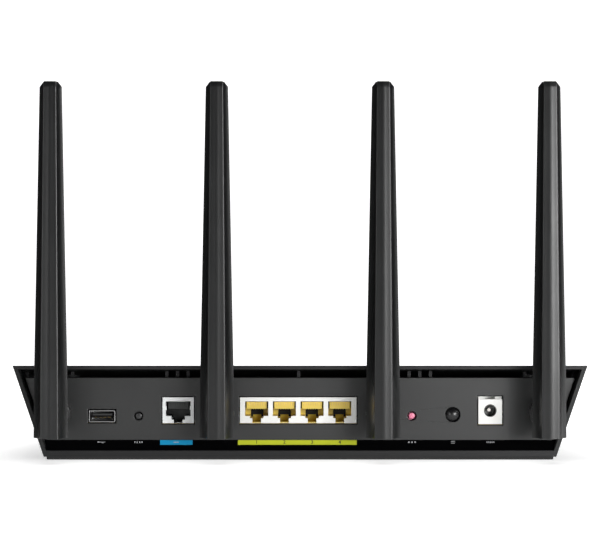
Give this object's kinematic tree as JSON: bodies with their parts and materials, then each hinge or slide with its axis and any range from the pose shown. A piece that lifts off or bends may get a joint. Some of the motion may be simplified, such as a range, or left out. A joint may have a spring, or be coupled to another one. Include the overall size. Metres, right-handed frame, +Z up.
{
  "type": "wireless router",
  "caption": "Low wedge-shaped wireless router with a recessed rear panel of sockets and buttons, and upright blade antennas on swivel elbows that fold back.",
  "frame": {"origin": "on the table under the middle of the whole outline, antennas upright", "axes": "+Z up, -Y out of the rear panel, +X to the right as seen from behind"},
  "size_m": [0.2894, 0.1938, 0.1885],
  "materials": {
    "cover_plastic": "fine satin texture, charcoal",
    "case_plastic": "satin, near black",
    "panel_plastic": "smooth satin dark grey",
    "gloss_strip": "polished black",
    "marker_blue": "smooth, solid colour",
    "marker_yellow": "smooth, solid colour",
    "rubber": "matt",
    "screw_steel": "blackened",
    "circuit_board": "solder mask over glass fibre",
    "chip_black": "moulded epoxy",
    "aluminium": "extruded, bare",
    "tinplate": "bright pressed tinplate",
    "capacitor_sleeve": "shrink sleeve",
    "led_white": "clear lens",
    "light_guide": "clear acrylic",
    "insulator_black": "moulded, matt",
    "gold": "gold flash",
    "socket_grey": "smooth, light grey",
    "socket_white": "smooth, off white",
    "liner_yellow": "smooth, yellow",
    "nickel": "nickel plated, turned",
    "button_black": "satin",
    "button_pink": "satin",
    "button_gloss": "polished",
    "brass": "turned, plated",
    "collar_plastic": "satin, fluted",
    "elbow_plastic": "satin",
    "antenna_plastic": "semi-gloss charcoal, crisp facets"
  },
  "bodies": {
    "case": {"top_cover": "cover_plastic", "bottom_case": "case_plastic", "rear_panel": "panel_plastic", "label_strip": "gloss_strip", "wan_marker": "marker_blue", "lan_marker": "marker_yellow", "foot_strips": "rubber", "case_screws": "screw_steel", "board_screws": "screw_steel", "main_board": "circuit_board", "chips": "chip_black", "heat_sink": "aluminium", "radio_shields": "tinplate", "transformers": "chip_black", "capacitors": "capacitor_sleeve", "indicator_leds": "led_white", "light_guide": "light_guide", "usb_shell": "tinplate", "usb_tongue": "insulator_black", "usb_contacts": "gold", "wan_housing": "socket_grey", "wan_liner": "insulator_black", "wan_contacts": "gold", "lan_housing": "socket_white", "lan_liners": "liner_yellow", "lan_contacts": "gold", "dc_housing": "socket_white", "dc_sleeve": "insulator_black", "dc_pin": "nickel", "button_switches": "insulator_black", "antenna_sockets": "brass", "socket_nuts": "brass", "antenna_collars": "collar_plastic"},
    "pairing_button": {"pairing_button": "button_black"},
    "reset_button": {"reset_button": "button_pink"},
    "power_button": {"power_button": "button_gloss"},
    "elbow_1": {"antenna_1_elbow": "elbow_plastic"},
    "arm_1": {"antenna_1_pin": "nickel", "antenna_1_blade": "antenna_plastic", "antenna_1_cover": "antenna_plastic", "antenna_1_radiator": "circuit_board"},
    "elbow_2": {"antenna_2_elbow": "elbow_plastic"},
    "arm_2": {"antenna_2_pin": "nickel", "antenna_2_blade": "antenna_plastic", "antenna_2_cover": "antenna_plastic", "antenna_2_radiator": "circuit_board"},
    "elbow_3": {"antenna_3_elbow": "elbow_plastic"},
    "arm_3": {"antenna_3_pin": "nickel", "antenna_3_blade": "antenna_plastic", "antenna_3_cover": "antenna_plastic", "antenna_3_radiator": "circuit_board"},
    "elbow_4": {"antenna_4_elbow": "elbow_plastic"},
    "arm_4": {"antenna_4_pin": "nickel", "antenna_4_blade": "antenna_plastic", "antenna_4_cover": "antenna_plastic", "antenna_4_radiator": "circuit_board"}
  },
  "joints": [
    {"name": "pairing_press", "type": "slide", "parent": "case", "child": "pairing_button", "axis": [0, 1, 0], "range_m": [0, 0.0008], "stiffness_N_per_m": 600},
    {"name": "reset_press", "type": "slide", "parent": "case", "child": "reset_button", "axis": [0, 1, 0], "range_m": [0, 0.0008], "stiffness_N_per_m": 600},
    {"name": "power_press", "type": "slide", "parent": "case", "child": "power_button", "axis": [0, 1, 0], "range_m": [0, 0.002], "stiffness_N_per_m": 400},
    {"name": "antenna_1_swivel", "type": "hinge", "parent": "case", "child": "elbow_1", "pos_m": [-0.12325, -0.08905, 0.0235], "axis": [0, 1, 0], "range_deg": [-90, 20]},
    {"name": "antenna_1_fold", "type": "hinge", "parent": "elbow_1", "child": "arm_1", "pos_m": [-0.12325, -0.08905, 0.0235], "axis": [1, 0, 0], "range_deg": [0, 90]},
    {"name": "antenna_2_swivel", "type": "hinge", "parent": "case", "child": "elbow_2", "pos_m": [-0.04108, -0.08905, 0.0235], "axis": [0, 1, 0], "range_deg": [-20, 20]},
    {"name": "antenna_2_fold", "type": "hinge", "parent": "elbow_2", "child": "arm_2", "pos_m": [-0.04108, -0.08905, 0.0235], "axis": [1, 0, 0], "range_deg": [0, 90]},
    {"name": "antenna_3_swivel", "type": "hinge", "parent": "case", "child": "elbow_3", "pos_m": [0.04108, -0.08905, 0.0235], "axis": [0, 1, 0], "range_deg": [-20, 20]},
    {"name": "antenna_3_fold", "type": "hinge", "parent": "elbow_3", "child": "arm_3", "pos_m": [0.04108, -0.08905, 0.0235], "axis": [1, 0, 0], "range_deg": [0, 90]},
    {"name": "antenna_4_swivel", "type": "hinge", "parent": "case", "child": "elbow_4", "pos_m": [0.12325, -0.08905, 0.0235], "axis": [0, 1, 0], "range_deg": [-20, 90]},
    {"name": "antenna_4_fold", "type": "hinge", "parent": "elbow_4", "child": "arm_4", "pos_m": [0.12325, -0.08905, 0.0235], "axis": [1, 0, 0], "range_deg": [0, 90]}
  ]
}
